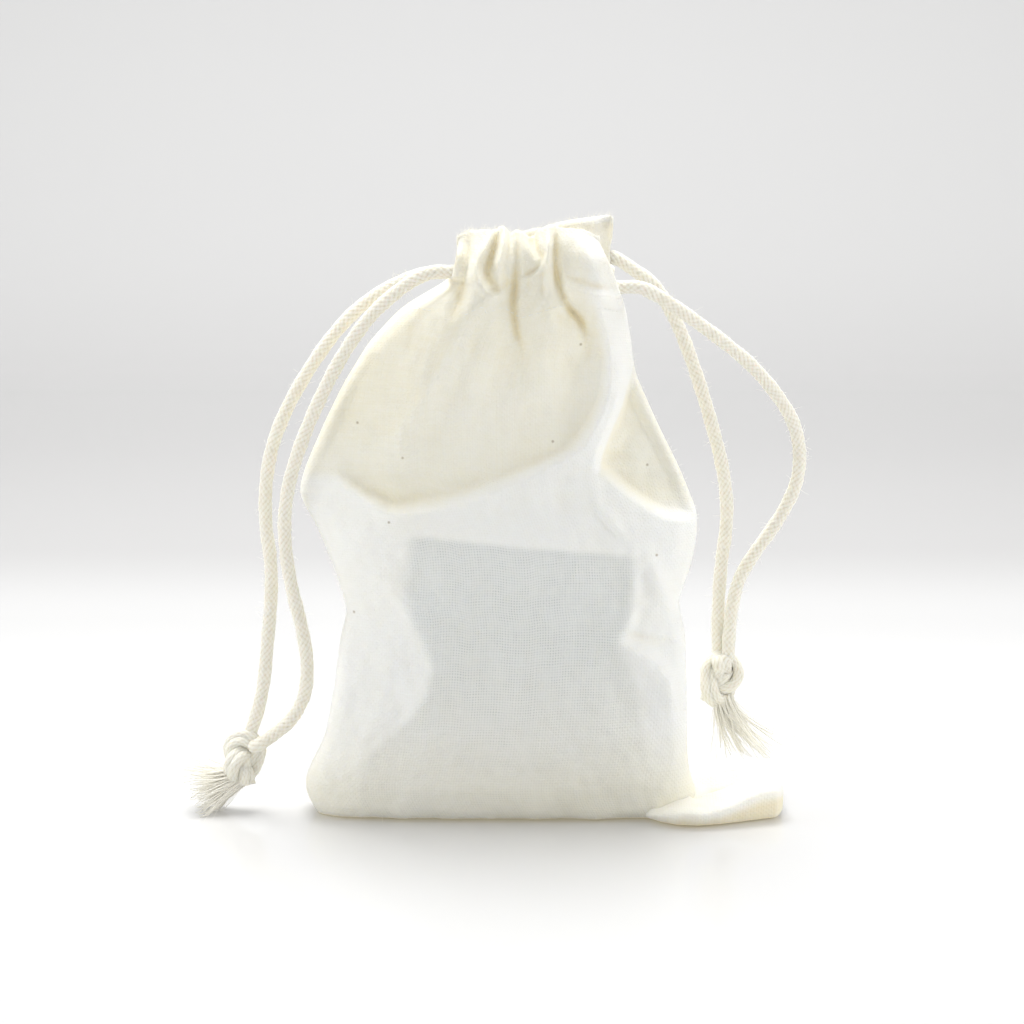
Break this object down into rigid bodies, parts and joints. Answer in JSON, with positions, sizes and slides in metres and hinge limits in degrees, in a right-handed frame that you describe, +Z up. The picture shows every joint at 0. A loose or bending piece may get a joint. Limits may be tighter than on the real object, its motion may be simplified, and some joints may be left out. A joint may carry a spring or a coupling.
{
  "type": "cotton drawstring herb bag",
  "caption": "Small muslin bag gathered shut by two braided drawstrings with knotted, frayed ends, holding a flat wrapped herb sachet.",
  "frame": {"origin": "on the ground under the standing bag, at the middle of its width and depth without the hanging cords", "axes": "+Z up along the standing bag, +X to the right seen from the front, +Y to the back"},
  "size_m": [0.1031, 0.026, 0.1002],
  "materials": {
    "cotton_cloth": "matte",
    "cotton_cord": "matte",
    "frayed_yarn": "matte",
    "sewing_thread": "matte",
    "sachet_wrap": "matte",
    "dried_herbs": "matte"
  },
  "bodies": {
    "bag": {"front_panel": "cotton_cloth", "back_panel": "cotton_cloth", "bottom_fold": "cotton_cloth", "corner_ear": "cotton_cloth", "left_seam": "cotton_cloth", "right_seam": "cotton_cloth", "left_seam_stitches": "sewing_thread", "right_seam_stitches": "sewing_thread", "inner_sachet": "sachet_wrap", "herb_filling": "dried_herbs", "left_cord_bight": "cotton_cord", "right_cord_bight": "cotton_cord"},
    "front_mouth": {"front_casing": "cotton_cloth", "front_casing_stitches": "sewing_thread"},
    "back_mouth": {"back_casing": "cotton_cloth", "back_casing_stitches": "sewing_thread"},
    "left_drawstring": {"left_cord_inner": "cotton_cord"},
    "left_tail": {"left_front_strand": "cotton_cord", "left_back_strand": "cotton_cord", "left_knot": "cotton_cord", "left_tassel": "frayed_yarn"},
    "right_drawstring": {"right_cord_inner": "cotton_cord"},
    "right_tail": {"right_front_strand": "cotton_cord", "right_back_strand": "cotton_cord", "right_knot": "cotton_cord", "right_tassel": "frayed_yarn"}
  },
  "joints": [
    {"name": "front_lip_tilt", "type": "hinge", "parent": "bag", "child": "front_mouth", "pos_m": [0, -0.0082, 0.08485], "axis": [1, 0, 0], "range_deg": [0, 12]},
    {"name": "back_lip_tilt", "type": "hinge", "parent": "bag", "child": "back_mouth", "pos_m": [0, 0.0082, 0.08485], "axis": [-1, 0, 0], "range_deg": [0, 12]},
    {"name": "left_cord_pull", "type": "slide", "parent": "bag", "child": "left_drawstring", "axis": [-1, 0, 0], "range_m": [0, 0.006]},
    {"name": "left_tail_swing", "type": "hinge", "parent": "left_drawstring", "child": "left_tail", "pos_m": [-0.0178, 0, 0.09035], "axis": [0, 0.9912, -0.1327], "range_deg": [0, 75]},
    {"name": "right_cord_pull", "type": "slide", "parent": "bag", "child": "right_drawstring", "axis": [1, 0, 0], "range_m": [0, 0.006]},
    {"name": "right_tail_swing", "type": "hinge", "parent": "right_drawstring", "child": "right_tail", "pos_m": [0.0154, 0, 0.09035], "axis": [0, -0.9679, -0.2515], "range_deg": [0, 75]}
  ]
}
